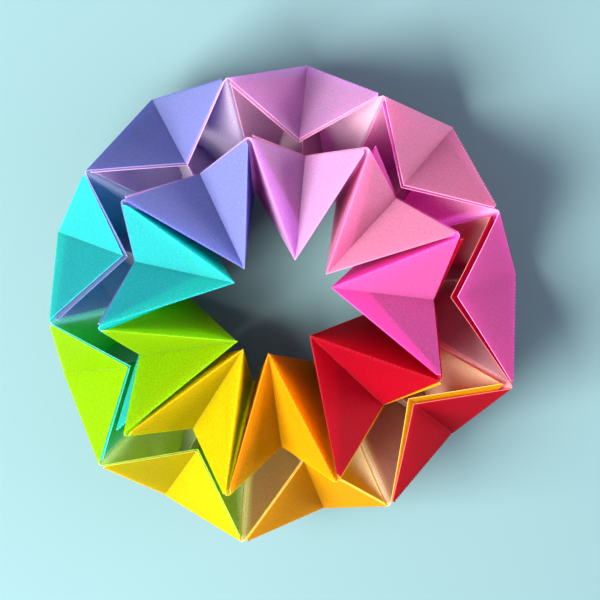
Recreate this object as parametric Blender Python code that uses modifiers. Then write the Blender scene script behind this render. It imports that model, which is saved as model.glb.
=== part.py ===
"""Star ring folded from nine square sheets of paper, each sheet one folded piece.

Every sheet covers two neighbouring pockets: its first half is the coloured outside
of its own pocket, its second half is the lining of the pocket before it. Metres, +Z up.
"""

import itertools
import math

import bmesh
import bpy
import mathutils
import numpy as np

# Paper
sheet_side = 0.075
sheet_thickness = 0.0001
quarter = sheet_side / 4  # the crease pattern is a grid of four by four quarters

# How the sheets nest
layer_pitch = 0.00016  # mid-surface to mid-surface where two layers lie close
fold_spread = 0.0005  # width of the fold between two pockets, room for the end tucked in it
end_pullback = 0.0009  # how far a sheet's tucked end stops short of the fold
rim_share = 0.55  # part of a lining's looseness that is a gap, the rest is rise past the rim
last_edge_factor = 1.25  # a lining stands looser at its free end
tip_setback = 0.006  # a lining isn't pushed right into the pocket's narrow tip
tip_width = 0.0016  # the blunt end of a pocket's tip, measured along its creases
free_end_trim = 0.0006  # how far a lining stops short of its pocket's side

# Relaxing the ring: how hard the paper keeps its lengths, against the pull of the set places
length_stiffness = 2.0
place_pull = 1.0
shape_pull = 0.05
height_pull = 0.6
relax_steps = 60

# Reach and height in millimetres of each row of points, before the ring is relaxed
row_places = {
    "outer_corner": (41.4, 14.5),
    "outer_dip": (29.6, 6.7),
    "shoulder": (41.5, -7.7),
    "foot": (17.8, -14.5),
    "tip": (8.7, 9.8),
    "inner_dip": (26.4, 5.4),
    "inner_corner": (32.2, 20.0),
}
between_pockets = ("outer_corner", "foot", "inner_corner")

# One pocket each, clockwise from the left as seen from above. Bearings are in degrees from +X,
# reaches in millimetres from the ring's axis. The corners are those on the pocket's clockwise side.
# name, tip bearing, tip reach, outer corner bearing and reach, inner corner bearing and reach,
# lining looseness at the outer and at the inner rim (mm), colour
pockets = [
    ("cyan", 150, 8.0, 144, 41.0, 143, 33.0, 1.0, 0.4, (0.01, 0.62, 0.66)),
    ("periwinkle", 131, 8.5, 102, 41.5, 98, 31.0, 0.6, 0.4, (0.28, 0.30, 0.66)),
    ("lilac", 68, 8.5, 64, 42.0, 61, 33.0, 0.7, 0.5, (0.60, 0.36, 0.62)),
    ("pink", 33, 10.0, 25, 42.5, 24, 34.5, 0.7, 1.0, (0.80, 0.28, 0.48)),
    ("magenta", 21, 10.0, -18, 43.5, -21, 30.5, 1.5, 0.8, (0.76, 0.08, 0.42)),
    ("crimson", -41, 7.5, -60, 40.0, -70, 31.0, 1.6, 0.6, (0.62, 0.005, 0.02)),
    ("orange", -101, 8.0, -98, 42.0, -105, 33.0, 0.4, 0.3, (0.88, 0.42, 0.0)),
    ("yellow", -128, 9.5, -138, 41.5, -141, 33.5, 0.5, 0.3, (0.86, 0.74, 0.01)),
    ("green", -136, 9.0, -177, 39.5, -176, 30.5, 0.6, 1.3, (0.38, 0.72, 0.0)),
]
count = len(pockets)
rows = list(row_places)


def polar(bearing, reach, height):
    """A point from its bearing in degrees and its reach and height in millimetres."""
    angle = math.radians(bearing)
    return np.array((reach * math.cos(angle), reach * math.sin(angle), height)) / 1000


def middle_bearing(index):
    """The bearing half way between the outer corners on the two sides of a pocket."""
    own = pockets[index][3]
    before = pockets[index - 1][3]
    return own + ((before - own) % 360) / 2


def set_places():
    """Where each point is pulled to, and how hard, as two arrays by row and pocket."""
    places = np.zeros((len(rows), count, 3))
    pulls = np.full((len(rows), count, 3), shape_pull)
    for row, name in enumerate(rows):
        for index, pocket in enumerate(pockets):
            reach, height = row_places[name]
            bearing = pocket[3] if name in between_pockets else middle_bearing(index)
            if name == "tip":
                bearing, reach = pocket[1:3]
            elif name == "outer_corner":
                bearing, reach = pocket[3:5]
            elif name == "inner_corner":
                bearing, reach = pocket[5:7]
            places[row, index] = polar(bearing, reach, height)
            if name in ("tip", "outer_corner", "inner_corner"):
                pulls[row, index, :2] = place_pull
            if name == "foot":
                pulls[row, index, 2] = height_pull
    return places, pulls


def crease_links():
    """Pairs of points joined by a crease or an edge, with the paper's length between them."""
    diagonal = quarter * math.sqrt(2)
    links = []
    for index in range(count):
        middle = {name: rows.index(name) * count + index for name in rows}
        links.append((middle["outer_dip"], middle["shoulder"], quarter))
        links.append((middle["shoulder"], middle["tip"], 2 * quarter))
        links.append((middle["tip"], middle["inner_dip"], quarter))
        for side in (index, (index - 1) % count):
            outer, foot, inner = (rows.index(name) * count + side for name in between_pockets)
            links.append((outer, middle["outer_dip"], quarter))
            links.append((outer, middle["shoulder"], diagonal))
            links.append((foot, middle["shoulder"], diagonal))
            links.append((foot, middle["tip"], diagonal))
            links.append((inner, middle["tip"], diagonal))
            links.append((inner, middle["inner_dip"], quarter))
        links.append((middle["outer_corner"], middle["foot"], 2 * quarter))
        links.append((middle["inner_corner"], middle["foot"], 2 * quarter))
    return links


def relaxed_ring():
    """The ring's points, by row and pocket, with the paper's lengths kept as far as possible."""
    places, pulls = set_places()
    target = places.reshape(-1)
    pull = pulls.reshape(-1)
    links = crease_links()
    points = target.copy()
    for _ in range(relax_steps):
        matrix = np.zeros((len(links) + len(points), len(points)))
        errors = np.zeros(len(matrix))
        for line, (first, second, length) in enumerate(links):
            step = points[3 * first:3 * first + 3] - points[3 * second:3 * second + 3]
            distance = np.linalg.norm(step)
            matrix[line, 3 * first:3 * first + 3] = length_stiffness * step / distance
            matrix[line, 3 * second:3 * second + 3] = -length_stiffness * step / distance
            errors[line] = length_stiffness * (distance - length)
        matrix[len(links):] = np.diag(pull)
        errors[len(links):] = pull * (points - target)
        change = np.linalg.lstsq(matrix, -errors, rcond=None)[0]
        points = points + change
        if np.abs(change).max() < 1e-8:
            break
    return points.reshape(len(rows), count, 3)


def pocket_shape(ring, index):
    """One pocket's outside, as three columns of six points from the inner rim to the outer rim."""
    columns = []
    blunt = tip_width / 2 / quarter
    for side, away in ((index, -1), ((index - 1) % count, 1)):
        outer, foot, inner = (ring[rows.index(name), side] for name in between_pockets)
        along = np.cross((0.0, 0.0, 1.0), (outer + inner) / 2)
        along = along / np.linalg.norm(along)
        shift = along * -away * fold_spread / 2
        beside_tip = [inner + (foot - inner) * (1 + sign * blunt) / 2 for sign in (-1, 1)]
        columns.append(np.array([inner, *beside_tip, foot, (foot + outer) / 2, outer]) + shift)
    outer_dip, shoulder, tip, inner_dip = (
        ring[rows.index(name), index] for name in ("outer_dip", "shoulder", "tip", "inner_dip")
    )
    tip_ends = [tip + blunt * (inner_dip - tip), tip + blunt * (shoulder - tip) / 2]
    middle = np.array([inner_dip, *tip_ends, (tip + shoulder) / 2, shoulder, outer_dip])
    return np.array([columns[0], middle, columns[1]])


def cell_corners(column, row):
    """The two triangles of one cell, split along the crease that joins its even corners."""
    corners = [(column, row), (column + 1, row), (column + 1, row + 1), (column, row + 1)]
    if not has_rising_crease(column, row):
        corners = corners[1:] + corners[:1]
    first, second, third, fourth = corners
    return (first, second, third), (first, third, fourth)


def inward_normals(shape, column, row, lowest_row=0):
    """Unit normals, pointing into the pocket, of the faces that meet at one point of it."""
    found = []
    for left, low in itertools.product(range(2), range(lowest_row, 5)):
        for triangle in cell_corners(left, low):
            if (column, row) not in triangle:
                continue
            first, second, third = (shape[corner] for corner in triangle)
            normal = np.cross(third - first, second - first)
            found.append(normal / np.linalg.norm(normal))
    return found


def clearing_move(normals, clearances):
    """The shortest move that takes a point clear of every face by that face's clearance."""
    best = None
    for size in (1, 2, 3):
        for chosen in itertools.combinations(range(len(normals)), size):
            matrix = np.array([normals[item] for item in chosen])
            wanted = np.array([clearances[item] for item in chosen])
            move = np.linalg.lstsq(matrix, wanted, rcond=None)[0]
            clear = all(
                normal @ move > clearance - 1e-7
                for normal, clearance in zip(normals, clearances)
            )
            if clear and (best is None or move @ move < best @ best):
                best = move
    return best


def lining_shape(ring, index):
    """The lining of one pocket, inside its outside, as three columns of six points."""
    shape = pocket_shape(ring, index)
    outer_loose, inner_loose = (value / 1000 for value in pockets[index][7:9])
    neighbour = pocket_shape(ring, (index - 1) % count)
    lining = shape.copy()
    for column, row in itertools.product(range(3), range(6)):
        normals = inward_normals(shape, column, row)
        looseness = {0: inner_loose, 5: outer_loose}.get(row, 0) * (0, 1, last_edge_factor)[column]
        clearances = [max(layer_pitch, rim_share * looseness)] * len(normals)
        if column == 2 and row >= 3:
            beside = inward_normals(neighbour, 0, row, lowest_row=3)
            normals = normals + beside
            clearances = clearances + [2 * layer_pitch] * len(beside)
        lining[column, row] += clearing_move(normals, clearances)
    for row, towards in ((1, 0), (2, 4)):
        direction = shape[1, towards] - shape[1, row]
        lining[1, row] += tip_setback * direction / np.linalg.norm(direction)
    for column, factor in ((1, 1), (2, last_edge_factor)):
        for row, below, looseness in ((0, 1, inner_loose), (5, 4, outer_loose)):
            rise = lining[column, row] - lining[column, below]
            rise = rise / np.linalg.norm(rise)
            lining[column, row] += rise * (1 - rim_share) * looseness * factor
    return lining


def sheet_columns(ring, index):
    """One whole sheet's crease points, as six columns from its tucked end to its free end."""
    return np.concatenate([pocket_shape(ring, index), lining_shape(ring, (index - 1) % count)])


def has_rising_crease(column, row):
    """Whether a cell of the sheet is creased from its first corner to its opposite one."""
    creases_across = column if column < 3 else column - 1
    creases_down = row if row < 1 else row - 1
    return (creases_across + creases_down) % 2 == 0


def folded_point(columns, across, down):
    """Where a point of the flat sheet goes, from its column and row, which may be fractions."""
    column, row = min(int(across), len(columns) - 2), min(int(down), len(columns[0]) - 2)
    near, far = columns[column], columns[column + 1]
    low, beside, opposite, above = near[row], far[row], far[row + 1], near[row + 1]
    right, up = across - column, down - row
    if has_rising_crease(column, row):
        if right > up:
            return low + right * (beside - low) + up * (opposite - beside)
        return low + up * (above - low) + right * (opposite - above)
    if right + up < 1:
        return low + right * (beside - low) + up * (above - low)
    return opposite + (1 - right) * (above - opposite) + (1 - up) * (beside - opposite)


def paper_material(name, colour):
    material = bpy.data.materials.new(name + "_paper")
    material.use_nodes = True
    shader = material.node_tree.nodes["Principled BSDF"]
    shader.inputs["Base Color"].default_value = (*colour, 1.0)
    shader.inputs["Roughness"].default_value = 0.75
    shader.inputs["Metallic"].default_value = 0.0
    return material


def folded_sheet(name, columns, colour, collection):
    """One sheet: a flat grid, creased and trimmed, folded, and given the paper's thickness."""
    mesh = bpy.data.meshes.new(name)
    sheet_mesh = bmesh.new()
    across, down = len(columns) - 1, len(columns[0]) - 1
    flat = mathutils.Matrix.Diagonal((across, down, 1, 1))
    flat.translation = (across / 2, down / 2, 0)
    bmesh.ops.create_grid(
        sheet_mesh, x_segments=across, y_segments=down, size=0.5, matrix=flat
    )
    for face in list(sheet_mesh.faces):
        middle = face.calc_center_median()
        rising = has_rising_crease(int(middle.x), int(middle.y))
        ends = [
            vertex
            for vertex in face.verts
            if ((vertex.co.x > middle.x) == (vertex.co.y > middle.y)) == rising
        ]
        bmesh.ops.connect_verts(sheet_mesh, verts=ends)
    for trim, side in ((end_pullback / quarter, 1), (across - free_end_trim / quarter, -1)):
        bmesh.ops.bisect_plane(
            sheet_mesh,
            geom=sheet_mesh.verts[:] + sheet_mesh.edges[:] + sheet_mesh.faces[:],
            plane_co=(trim, 0, 0),
            plane_no=(side, 0, 0),
            clear_inner=True,
        )
    bmesh.ops.triangulate(sheet_mesh, faces=sheet_mesh.faces)
    for vertex in sheet_mesh.verts:
        vertex.co = folded_point(columns, vertex.co.x, vertex.co.y)
    sheet_mesh.to_mesh(mesh)
    sheet_mesh.free()
    mesh.materials.append(paper_material(name, colour))
    sheet = bpy.data.objects.new(name, mesh)
    collection.objects.link(sheet)
    thickness = sheet.modifiers.new("Thickness", "SOLIDIFY")
    thickness.solidify_mode = "NON_MANIFOLD"
    thickness.nonmanifold_thickness_mode = "CONSTRAINTS"
    thickness.thickness = sheet_thickness
    thickness.offset = 0.0
    return sheet


def stand_on_origin(sheets):
    """Move the sheets so that the middle of their underside is the origin."""
    bpy.context.view_layer.update()
    depsgraph = bpy.context.evaluated_depsgraph_get()
    settled = [sheet.evaluated_get(depsgraph) for sheet in sheets]
    corners = np.array([corner[:] for sheet in settled for corner in sheet.bound_box])
    low, high = corners.min(axis=0), corners.max(axis=0)
    shift = mathutils.Vector((-(low[0] + high[0]) / 2, -(low[1] + high[1]) / 2, -low[2]))
    for sheet in sheets:
        sheet.data.transform(mathutils.Matrix.Translation(shift))


def main():
    for item in list(bpy.data.objects):
        bpy.data.objects.remove(item, do_unlink=True)
    collection = bpy.data.collections.new("folded_star_ring")
    bpy.context.scene.collection.children.link(collection)
    ring = relaxed_ring()
    sheets = []
    for index, pocket in enumerate(pockets):
        columns = sheet_columns(ring, index)
        sheets.append(folded_sheet(pocket[0] + "_sheet", columns, pocket[-1], collection))
    stand_on_origin(sheets)


main()
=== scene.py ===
import itertools
import math

import bpy
import numpy as np
from mathutils import Matrix, Vector


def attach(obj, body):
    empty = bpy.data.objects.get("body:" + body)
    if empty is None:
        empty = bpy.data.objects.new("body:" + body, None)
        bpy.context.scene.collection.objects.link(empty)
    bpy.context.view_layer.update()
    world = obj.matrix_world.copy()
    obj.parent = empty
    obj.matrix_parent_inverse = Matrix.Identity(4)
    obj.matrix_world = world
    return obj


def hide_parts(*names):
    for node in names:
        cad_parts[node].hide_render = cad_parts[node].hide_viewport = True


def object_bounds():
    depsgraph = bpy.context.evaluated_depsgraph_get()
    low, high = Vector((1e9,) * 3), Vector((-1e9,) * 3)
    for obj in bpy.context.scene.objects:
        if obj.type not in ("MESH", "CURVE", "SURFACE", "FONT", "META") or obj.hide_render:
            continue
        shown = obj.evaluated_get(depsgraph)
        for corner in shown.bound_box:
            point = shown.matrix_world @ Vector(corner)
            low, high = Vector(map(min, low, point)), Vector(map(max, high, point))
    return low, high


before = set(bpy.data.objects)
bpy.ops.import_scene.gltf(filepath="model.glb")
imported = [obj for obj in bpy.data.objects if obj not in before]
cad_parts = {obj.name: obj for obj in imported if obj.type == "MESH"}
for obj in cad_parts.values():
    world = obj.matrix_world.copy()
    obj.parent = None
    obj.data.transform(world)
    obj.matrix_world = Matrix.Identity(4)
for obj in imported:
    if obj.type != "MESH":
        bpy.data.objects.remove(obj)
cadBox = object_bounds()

# every sheet is the same square, creased on a grid of four by four quarters
paper = {
    "side": 0.075,
    "thickness": 0.0001,
    "cellsPerSide": 128,
    "layerPitch": 0.00016,      # between two layers that lie close
    "foldSpread": 0.0005,       # width of the fold between two pockets
    "endPullback": 0.0009,      # the tucked end stops short of the fold
    "freeEndTrim": 0.0006,      # the lining stops short of its pocket's side
    "rimShare": 0.55,           # part of a lining's looseness that is a gap
    "lastEdgeFactor": 1.25,     # a lining stands looser at its free end
    "tipSetback": 0.006,        # a lining isn't pushed right into the tip
    "tipWidth": 0.0006,
    "bow": 0.00010,             # how far a panel bulges between its creases
}
quarter = paper["side"] / 4

# reach from the axis and height of each row of crease points before the ring settles, in mm
rowPlaces = {
    "outerCorner": (41.4, 14.5),
    "outerDip": (29.6, 6.7),
    "shoulder": (41.5, -7.7),
    "foot": (17.8, -14.5),
    "tip": (8.7, 9.8),
    "innerDip": (26.4, 5.4),
    "innerCorner": (32.2, 20.0),
}
betweenPockets = ("outerCorner", "foot", "innerCorner")

# one sheet each, clockwise from the left; bearings in degrees from +X, reaches and looseness in mm
cyan = {
    "name": "cyan", "tip": (150, 8.0), "outerCorner": (144, 41.0), "innerCorner": (143, 33.0),
    "looseness": (1.0, 0.4), "colour": (0.08, 0.88, 0.87), "glow": (0.0, 0.86, 0.85),
}
periwinkle = {
    "name": "periwinkle", "tip": (131, 8.5), "outerCorner": (102, 41.5), "innerCorner": (98, 31.0),
    "looseness": (0.6, 0.4), "colour": (0.50, 0.56, 0.95), "glow": (0.26, 0.28, 0.74),
}
lilac = {
    "name": "lilac", "tip": (68, 8.5), "outerCorner": (64, 42.0), "innerCorner": (61, 33.0),
    "looseness": (0.7, 0.5), "colour": (0.97, 0.78, 0.98), "glow": (0.90, 0.38, 0.90),
}
pink = {
    "name": "pink", "tip": (33, 10.0), "outerCorner": (25, 42.5), "innerCorner": (24, 34.5),
    "looseness": (0.7, 1.0), "colour": (1.0, 0.62, 0.82), "glow": (1.0, 0.34, 0.64),
}
magenta = {
    "name": "magenta", "tip": (21, 10.0), "outerCorner": (-18, 43.5), "innerCorner": (-21, 30.5),
    "looseness": (1.5, 0.8), "colour": (1.0, 0.28, 0.78), "glow": (1.0, 0.08, 0.64),
}
crimson = {
    "name": "crimson", "tip": (-41, 7.5), "outerCorner": (-60, 40.0), "innerCorner": (-70, 31.0),
    "looseness": (1.6, 0.6), "colour": (0.72, 0.0, 0.03), "glow": (0.64, 0.0, 0.05),
}
orange = {
    "name": "orange", "tip": (-101, 8.0), "outerCorner": (-98, 42.0), "innerCorner": (-105, 33.0),
    "looseness": (0.4, 0.3), "colour": (1.0, 0.70, 0.0), "glow": (1.0, 0.52, 0.0),
}
yellow = {
    "name": "yellow", "tip": (-128, 9.5), "outerCorner": (-138, 41.5), "innerCorner": (-141, 33.5),
    "looseness": (0.5, 0.3), "colour": (0.94, 0.76, 0.0), "glow": (1.0, 0.80, 0.0),
}
green = {
    "name": "green", "tip": (-136, 9.0), "outerCorner": (-177, 39.5), "innerCorner": (-176, 30.5),
    "looseness": (0.6, 1.3), "colour": (0.68, 0.84, 0.0), "glow": (0.46, 0.92, 0.0),
}
pockets = [cyan, periwinkle, lilac, pink, magenta, crimson, orange, yellow, green]
count = len(pockets)
rows = list(rowPlaces)

# how hard the paper keeps its lengths against the pull of the set places
settling = {"length": 2.0, "place": 1.0, "shape": 0.05, "height": 0.6, "steps": 60}


def polar(bearing, reach, height):
    angle = math.radians(bearing)
    return np.array((reach * math.cos(angle), reach * math.sin(angle), height)) / 1000


def middleBearing(index):
    own = pockets[index]["outerCorner"][0]
    before = pockets[index - 1]["outerCorner"][0]
    return own + ((before - own) % 360) / 2


def setPlaces():
    places = np.zeros((len(rows), count, 3))
    pulls = np.full((len(rows), count, 3), settling["shape"])
    for row, name in enumerate(rows):
        for index, pocket in enumerate(pockets):
            reach, height = rowPlaces[name]
            if name in ("tip", "outerCorner", "innerCorner"):
                bearing, reach = pocket[name]
                pulls[row, index, :2] = settling["place"]
            elif name == "foot":
                bearing = pocket["outerCorner"][0]
                pulls[row, index, 2] = settling["height"]
            else:
                bearing = middleBearing(index)
            places[row, index] = polar(bearing, reach, height)
    return places, pulls


def creaseLinks():
    # pairs of points joined by a crease or an edge, with the paper's length between them
    diagonal = quarter * math.sqrt(2)
    links = []
    for index in range(count):
        own = {name: rows.index(name) * count + index for name in rows}
        links.append((own["outerDip"], own["shoulder"], quarter))
        links.append((own["shoulder"], own["tip"], 2 * quarter))
        links.append((own["tip"], own["innerDip"], quarter))
        for side in (index, (index - 1) % count):
            outer, foot, inner = (rows.index(name) * count + side for name in betweenPockets)
            links.append((outer, own["outerDip"], quarter))
            links.append((outer, own["shoulder"], diagonal))
            links.append((foot, own["shoulder"], diagonal))
            links.append((foot, own["tip"], diagonal))
            links.append((inner, own["tip"], diagonal))
            links.append((inner, own["innerDip"], quarter))
        links.append((own["outerCorner"], own["foot"], 2 * quarter))
        links.append((own["innerCorner"], own["foot"], 2 * quarter))
    return links


def settledRing():
    places, pulls = setPlaces()
    target = places.reshape(-1)
    pull = pulls.reshape(-1)
    links = creaseLinks()
    points = target.copy()
    for _ in range(settling["steps"]):
        matrix = np.zeros((len(links) + len(points), len(points)))
        errors = np.zeros(len(matrix))
        for line, (first, second, length) in enumerate(links):
            step = points[3 * first:3 * first + 3] - points[3 * second:3 * second + 3]
            distance = np.linalg.norm(step)
            matrix[line, 3 * first:3 * first + 3] = settling["length"] * step / distance
            matrix[line, 3 * second:3 * second + 3] = -settling["length"] * step / distance
            errors[line] = settling["length"] * (distance - length)
        matrix[len(links):] = np.diag(pull)
        errors[len(links):] = pull * (points - target)
        change = np.linalg.lstsq(matrix, -errors, rcond=None)[0]
        points = points + change
        if np.abs(change).max() < 1e-8:
            break
    return points.reshape(len(rows), count, 3)


def pocketShape(ring, index):
    # three columns of six points, from the inner rim down to the foot and up to the outer rim
    columns = []
    blunt = paper["tipWidth"] / 2 / quarter
    for side, away in ((index, -1), ((index - 1) % count, 1)):
        outer, foot, inner = (ring[rows.index(name), side] for name in betweenPockets)
        along = np.cross((0.0, 0.0, 1.0), (outer + inner) / 2)
        along = along / np.linalg.norm(along)
        shift = along * -away * paper["foldSpread"] / 2
        besideTip = [inner + (foot - inner) * (1 + sign * blunt) / 2 for sign in (-1, 1)]
        columns.append(np.array([inner, *besideTip, foot, (foot + outer) / 2, outer]) + shift)
    outerDip, shoulder, tip, innerDip = (
        ring[rows.index(name), index] for name in ("outerDip", "shoulder", "tip", "innerDip")
    )
    tipEnds = [tip + blunt * (innerDip - tip), tip + blunt * (shoulder - tip) / 2]
    middle = np.array([innerDip, *tipEnds, (tip + shoulder) / 2, shoulder, outerDip])
    return np.array([columns[0], middle, columns[1]])


def risingCrease(column, row):
    creasesAcross = column if column < 3 else column - 1
    creasesDown = row if row < 1 else row - 1
    return (creasesAcross + creasesDown) % 2 == 0


def cellCorners(column, row):
    corners = [(column, row), (column + 1, row), (column + 1, row + 1), (column, row + 1)]
    if not risingCrease(column, row):
        corners = corners[1:] + corners[:1]
    first, second, third, fourth = corners
    return (first, second, third), (first, third, fourth)


def inwardNormals(shape, column, row, lowestRow=0):
    found = []
    for left, low in itertools.product(range(2), range(lowestRow, 5)):
        for triangle in cellCorners(left, low):
            if (column, row) not in triangle:
                continue
            first, second, third = (shape[corner] for corner in triangle)
            normal = np.cross(third - first, second - first)
            found.append(normal / np.linalg.norm(normal))
    return found


def clearingMove(normals, clearances):
    # the shortest move that takes a point clear of every face that meets there
    best = None
    for size in (1, 2, 3):
        for chosen in itertools.combinations(range(len(normals)), size):
            matrix = np.array([normals[item] for item in chosen])
            wanted = np.array([clearances[item] for item in chosen])
            move = np.linalg.lstsq(matrix, wanted, rcond=None)[0]
            clear = all(normal @ move > gap - 1e-7 for normal, gap in zip(normals, clearances))
            if clear and (best is None or move @ move < best @ best):
                best = move
    return best


def liningShape(ring, index):
    shape = pocketShape(ring, index)
    outerLoose, innerLoose = (value / 1000 for value in pockets[index]["looseness"])
    neighbour = pocketShape(ring, (index - 1) % count)
    lining = shape.copy()
    for column, row in itertools.product(range(3), range(6)):
        normals = inwardNormals(shape, column, row)
        atRow = {0: innerLoose, 5: outerLoose}.get(row, 0)
        looseness = atRow * (0, 1, paper["lastEdgeFactor"])[column]
        clearances = [max(paper["layerPitch"], paper["rimShare"] * looseness)] * len(normals)
        if column == 2 and row >= 3:
            beside = inwardNormals(neighbour, 0, row, lowestRow=3)
            normals = normals + beside
            clearances = clearances + [2 * paper["layerPitch"]] * len(beside)
        lining[column, row] += clearingMove(normals, clearances)
    for row, towards in ((1, 0), (2, 4)):
        direction = shape[1, towards] - shape[1, row]
        lining[1, row] += paper["tipSetback"] * direction / np.linalg.norm(direction)
    for column, factor in ((1, 1), (2, paper["lastEdgeFactor"])):
        for row, below, looseness in ((0, 1, innerLoose), (5, 4, outerLoose)):
            rise = lining[column, row] - lining[column, below]
            rise = rise / np.linalg.norm(rise)
            lining[column, row] += rise * (1 - paper["rimShare"]) * looseness * factor
    return lining


def foldedPoints(flat, columns, bows):
    # flat is in quarters: across 0 to 4 from the tucked end, down 0 to 4 from the inner rim
    across, down = flat[:, 0], flat[:, 1]
    fold = paper["foldSpread"] / 2 / quarter
    blunt = paper["tipWidth"] / 2 / quarter
    column = np.interp(across, (0, 1, 2 - fold, 2 + fold, 3, 4), (0, 1, 2, 3, 4, 5))
    row = np.interp(down, (0, 1 - blunt, 1 + blunt, 2, 3, 4), (0, 1, 2, 3, 4, 5))
    places = np.zeros((len(flat), 3))
    normals = np.zeros((len(flat), 3))
    for left, low in itertools.product(range(5), range(5)):
        for triangle in cellCorners(left, low):
            (x0, y0), (x1, y1), (x2, y2) = triangle
            a, b, c = (columns[corner] for corner in triangle)
            area = (x1 - x0) * (y2 - y0) - (x2 - x0) * (y1 - y0)
            second = ((column - x0) * (y2 - y0) - (x2 - x0) * (row - y0)) / area
            third = ((x1 - x0) * (row - y0) - (column - x0) * (y1 - y0)) / area
            inside = (second > -1e-5) & (third > -1e-5) & (second + third < 1 + 1e-5)
            places[inside] = a + second[inside, None] * (b - a) + third[inside, None] * (c - a)
            outward = np.cross(b - a, c - a)
            normals[inside] = outward / np.linalg.norm(outward)
    # each panel bulges a little, nothing at its creases
    sideways = 1 - np.abs(across % 2 - 1)
    lengthways = 1 - np.abs(down % 2 - 1)
    bulge = np.where(
        sideways < lengthways,
        4 * sideways * (lengthways - sideways),
        4 * (1 - sideways) * (sideways - lengthways),
    )
    beside = (down + (sideways > lengthways)).astype(int)
    panel = np.minimum(beside, 4) + 5 * (across.astype(int) % 2)
    half = (across >= 2).astype(int)
    amount = bows[half, panel] * bulge
    return places + normals * amount[:, None]


def deselectAll():
    if bpy.context.object and bpy.context.object.mode != "OBJECT":
        bpy.ops.object.mode_set(mode="OBJECT")
    bpy.ops.object.select_all(action="DESELECT")


def link(tree, source, target):
    tree.links.new(source, target)


def mathNode(tree, operation, first, second):
    node = tree.nodes.new("ShaderNodeMath")
    node.operation = operation
    for socket, value in zip(node.inputs, (first, second)):
        if isinstance(value, float):
            socket.default_value = value
        else:
            link(tree, value, socket)
    return node.outputs[0]


def noiseNode(tree, vector, scale, detail, roughness=0.5):
    node = tree.nodes.new("ShaderNodeTexNoise")
    node.inputs["Scale"].default_value = scale
    node.inputs["Detail"].default_value = detail
    node.inputs["Roughness"].default_value = roughness
    link(tree, vector, node.inputs["Vector"])
    return node.outputs["Fac"]


def rangeNode(tree, value, fromLow, fromHigh, toLow, toHigh):
    node = tree.nodes.new("ShaderNodeMapRange")
    node.clamp = True
    limits = {"From Min": fromLow, "From Max": fromHigh, "To Min": toLow, "To Max": toHigh}
    for name, number in limits.items():
        node.inputs[name].default_value = number
    link(tree, value, node.inputs["Value"])
    return node.outputs["Result"]


def mixColours(tree, factor, first, second):
    node = tree.nodes.new("ShaderNodeMix")
    node.data_type = "RGBA"
    link(tree, factor, node.inputs["Factor"])
    for socket, value in ((node.inputs[6], first), (node.inputs[7], second)):
        if isinstance(value, tuple):
            socket.default_value = (*value, 1.0)
        else:
            link(tree, value, socket)
    return node.outputs[2]


def creaseDistance(tree, flat):
    # distance in quarters to the nearest crease: every whole line across, and both diagonals
    split = tree.nodes.new("ShaderNodeSeparateXYZ")
    link(tree, flat, split.inputs[0])
    x, y = split.outputs[0], split.outputs[1]

    def toNearestWhole(value):
        return mathNode(tree, "PINGPONG", value, 0.5)

    upright = toNearestWhole(x)
    rising = toNearestWhole(mathNode(tree, "MULTIPLY", mathNode(tree, "ADD", x, y), 0.5))
    falling = toNearestWhole(mathNode(tree, "MULTIPLY", mathNode(tree, "SUBTRACT", x, y), 0.5))
    slanted = mathNode(tree, "MULTIPLY", mathNode(tree, "MINIMUM", rising, falling), math.sqrt(2))
    return mathNode(tree, "MINIMUM", upright, slanted)


paperFinish = {
    "throughLight": 0.79,       # share of the light that goes through one face of the sheet
    "whiteBack": (0.94, 0.93, 0.92),
    "paintedPocketLight": 0.22,           # share of the two sheets' colours mixed into the white back: painted coloured light inside the pockets, standing for light that comes through the paper and bounces off the sheet beside
    "fibreScale": 260.0,        # per quarter of the sheet
    "mottleScale": 42.0,
    "mottleDark": 0.80,
    "cloudScale": 2.2,
    "rubScale": 9.0,
    "creaseWidth": 0.012,       # in quarters
    "creaseWear": 0.28,
    "creaseLighter": 0.5,
    "edgeLighter": 0.25,
    "edgeThroughLight": 0.5,
    "ior": 1.42,
    "roughness": (0.52, 0.64),
    "bump": 0.35,
    "bumpHeight": 0.00006,
    "sharpCrease": 12,          # degrees
}


def lighter(colour, share):
    return tuple(value + (1 - value) * share for value in colour)


def darker(colour):
    return tuple(paperFinish["mottleDark"] * value for value in colour)


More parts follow.
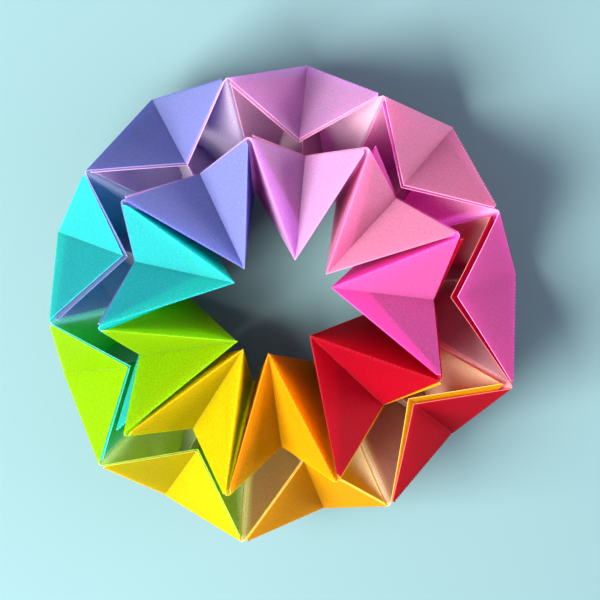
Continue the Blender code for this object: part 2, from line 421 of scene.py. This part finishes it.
def paperMaterial(name, colour, glow, through, worn=None):
    # glow is the colour of the light that comes through the sheet
    material = bpy.data.materials.new(name)
    material.use_nodes = True
    tree = material.node_tree
    tree.nodes.clear()
    output = tree.nodes.new("ShaderNodeOutputMaterial")
    shader = tree.nodes.new("ShaderNodeBsdfPrincipled")
    shader.inputs["IOR"].default_value = paperFinish["ior"]
    back = tree.nodes.new("ShaderNodeBsdfTranslucent")
    mix = tree.nodes.new("ShaderNodeMixShader")
    mix.inputs[0].default_value = through
    link(tree, shader.outputs[0], mix.inputs[1])
    link(tree, back.outputs[0], mix.inputs[2])
    link(tree, mix.outputs[0], output.inputs["Surface"])

    uv = tree.nodes.new("ShaderNodeUVMap")
    uv.uv_map = "flatSheet"
    quarters = tree.nodes.new("ShaderNodeVectorMath")
    quarters.operation = "SCALE"
    quarters.inputs["Scale"].default_value = 4.0
    link(tree, uv.outputs[0], quarters.inputs[0])
    flat = quarters.outputs[0]

    # small darker spots, fewer of them inside the pale clouds
    mottle = noiseNode(tree, flat, paperFinish["mottleScale"], 4.0, 0.65)
    mottle = rangeNode(tree, mottle, 0.36, 0.64, 0.0, 1.0)
    cloud = noiseNode(tree, flat, paperFinish["cloudScale"], 2.0)
    cloud = rangeNode(tree, cloud, 0.3, 0.7, 0.0, 0.45)
    even = mathNode(tree, "MAXIMUM", mottle, cloud)
    shade = mixColours(tree, even, darker(colour), colour)
    glowShade = mixColours(tree, even, darker(glow), glow)
    if worn:
        width, wear = paperFinish["creaseWidth"], paperFinish["creaseWear"]
        edge = rangeNode(tree, creaseDistance(tree, flat), 0.0, width, wear, 0.0)
        rub = noiseNode(tree, flat, paperFinish["rubScale"], 3.0)
        rub = rangeNode(tree, rub, 0.35, 0.65, 0.4, 1.0)
        shade = mixColours(tree, mathNode(tree, "MULTIPLY", edge, rub), shade, worn)
    link(tree, shade, shader.inputs["Base Color"])
    link(tree, glowShade, back.inputs["Color"])

    grain = noiseNode(tree, flat, paperFinish["fibreScale"], 3.0, 0.7)
    roughness = rangeNode(tree, mottle, 0.0, 1.0, *paperFinish["roughness"])
    link(tree, roughness, shader.inputs["Roughness"])
    bump = tree.nodes.new("ShaderNodeBump")
    bump.inputs["Strength"].default_value = paperFinish["bump"]
    bump.inputs["Distance"].default_value = paperFinish["bumpHeight"]
    link(tree, mathNode(tree, "ADD", grain, mottle), bump.inputs["Height"])
    link(tree, bump.outputs[0], shader.inputs["Normal"])
    return material


def foldSheet(index, ring, shift, bows):
    # the first half is the outside of its own pocket, the second half lines the pocket before
    pocket = pockets[index]
    name = pocket["name"]
    deselectAll()
    cells = paper["cellsPerSide"]
    bpy.ops.mesh.primitive_grid_add(
        x_subdivisions=cells, y_subdivisions=cells, size=paper["side"],
        location=(paper["side"] / 2, paper["side"] / 2, 0),
    )
    bpy.ops.object.transform_apply(location=True, rotation=True, scale=True)
    piece = bpy.context.object
    piece.name = name + "_folded_sheet"
    mesh = piece.data
    mesh.name = piece.name
    mesh.uv_layers[0].name = "flatSheet"

    # split every cell along the way its crease runs
    for rising, method in ((True, "FIXED"), (False, "FIXED_ALTERNATE")):
        for polygon in mesh.polygons:
            x, y = polygon.center[0] / quarter, polygon.center[1] / quarter
            polygon.select = polygon.loop_total == 4 and ((int(x) + int(y)) % 2 == 0) == rising
        bpy.ops.object.mode_set(mode="EDIT")
        bpy.ops.mesh.quads_convert_to_tris(quad_method=method, ngon_method="BEAUTY")
        bpy.ops.object.mode_set(mode="OBJECT")

    # trim both ends while the sheet is flat
    for trim, side in ((paper["endPullback"], 1), (paper["side"] - paper["freeEndTrim"], -1)):
        bpy.ops.object.mode_set(mode="EDIT")
        bpy.ops.mesh.select_all(action="SELECT")
        bpy.ops.mesh.bisect(plane_co=(trim, 0, 0), plane_no=(side, 0, 0), clear_inner=True)
        bpy.ops.object.mode_set(mode="OBJECT")

    flat = np.empty(len(mesh.vertices) * 3)
    mesh.vertices.foreach_get("co", flat)
    flat = flat.reshape(-1, 3) / quarter
    columns = np.concatenate([pocketShape(ring, index), liningShape(ring, (index - 1) % count)])
    places = foldedPoints(flat, columns, bows[[index, (index - 1) % count]]) + shift
    mesh.vertices.foreach_set("co", places.reshape(-1))
    mesh.update()

    colour, glow = pocket["colour"], pocket["glow"]
    pocketLightShare, through = paperFinish["paintedPocketLight"], paperFinish["throughLight"]
    # the white back is tinted with its own colour and the colour of the sheet before: painted
    # coloured light inside the pocket, standing for light that comes through the paper and bounces
    # off the sheet beside
    backWithPaintedLight = tuple(
        back * (1 - pocketLightShare) + (own + beside) / 2 * pocketLightShare
        for back, own, beside in zip(paperFinish["whiteBack"], colour, pockets[index - 1]["colour"])
    )
    worn = lighter(colour, paperFinish["creaseLighter"])
    edgeColour = lighter(colour, paperFinish["edgeLighter"])
    edgeThrough = paperFinish["edgeThroughLight"]
    mesh.materials.append(paperMaterial(name + "_face", colour, glow, through, worn))
    mesh.materials.append(paperMaterial(name + "_back", backWithPaintedLight, backWithPaintedLight, through))
    mesh.materials.append(paperMaterial(name + "_cut_edge", edgeColour, glow, edgeThrough))

    thickness = piece.modifiers.new("Thickness", "SOLIDIFY")
    thickness.thickness = paper["thickness"]
    thickness.offset = 0.0
    thickness.material_offset = 1
    thickness.material_offset_rim = 2
    bpy.ops.object.modifier_apply(modifier="Thickness")
    bpy.ops.object.shade_smooth_by_angle(angle=math.radians(paperFinish["sharpCrease"]))

    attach(piece, "root")
    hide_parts(name + "_sheet")
    return piece


ring = settledRing()
allPoints = np.concatenate([
    np.concatenate([pocketShape(ring, index), liningShape(ring, index)]).reshape(-1, 3)
    for index in range(count)
])
low, high = allPoints.min(axis=0), allPoints.max(axis=0)
cadLow, cadHigh = (np.array(corner) for corner in cadBox)
shift = (cadLow + cadHigh - low - high) / 2
shift[2] = cadLow[2] - low[2] + paper["thickness"] / 2
print("ring settled, shifted by", shift * 1000, "mm")

random = np.random.default_rng(11)
bows = paper["bow"] * random.uniform(-0.4, 1.0, (count, 10))
for index in range(count):
    piece = foldSheet(index, ring, shift, bows)
    print("folded", piece.name, len(piece.data.polygons), "faces")

# the floor it stands on
floorLook = {"size": 3.0, "colour": (0.120, 0.212, 0.222)}
deselectAll()
bpy.ops.mesh.primitive_grid_add(
    x_subdivisions=2, y_subdivisions=2, size=floorLook["size"], location=(0, 0, 0),
)
floor = bpy.context.object
floor.name = "pale_floor"
floorMaterial = bpy.data.materials.new("pale_floor")
floorMaterial.use_nodes = True
floorShader = floorMaterial.node_tree.nodes["Principled BSDF"]
floorShader.inputs["Base Color"].default_value = (*floorLook["colour"], 1.0)
floorShader.inputs["Roughness"].default_value = 0.9
floor.data.materials.append(floorMaterial)

# soft light from the left, a weak one low on the right, and a bluish fill from all round
lights = {
    "key": {
        "place": (-0.28, -0.10, 0.42), "size": 0.32, "power": 10.4, "colour": (1.0, 0.985, 0.94),
    },
    "fill": {
        "place": (0.80, 0.06, 0.20), "size": 0.5, "power": 9.0, "colour": (1.0, 0.95, 0.99),
    },
}
for name, look in lights.items():
    bpy.ops.object.light_add(type="AREA", location=look["place"])
    lamp = bpy.context.object
    lamp.name = name + "_light"
    lamp.data.size = look["size"]
    lamp.data.energy = look["power"]
    lamp.data.color = look["colour"]
    lamp.rotation_euler = Vector(look["place"]).to_track_quat("Z", "Y").to_euler()
surroundings = {"colour": (0.66, 0.68, 1.0), "strength": 0.60}
world = bpy.data.worlds.new("studio")
world.use_nodes = True
background = world.node_tree.nodes["Background"]
background.inputs["Color"].default_value = (*surroundings["colour"], 1.0)
background.inputs["Strength"].default_value = surroundings["strength"]
bpy.context.scene.world = world
bpy.context.scene.view_settings.view_transform = "Standard"

# looking almost straight down, leaning a little towards the far side; places in quarters
view = {
    "lean": -0.156, "sideLean": 0.021, "roll": 0.005,
    "across": 0.206, "along": -0.022, "distance": 35, "lens": 221.64,
}
turn = (
    Matrix.Rotation(view["lean"], 4, "X")
    @ Matrix.Rotation(view["sideLean"], 4, "Y")
    @ Matrix.Rotation(view["roll"], 4, "Z")
)
bpy.ops.object.camera_add()
camera = bpy.context.object
camera.name = "view_camera"
camera.matrix_world = (
    Matrix.Translation(Vector(shift)) @ turn
    @ Matrix.Translation(Vector((view["across"], view["along"], view["distance"])) * quarter)
)
camera.data.lens = view["lens"]
camera.data.sensor_width = 36.0
camera.data.clip_end = 20.0
bpy.context.scene.camera = camera
print("floor, lights and camera placed")
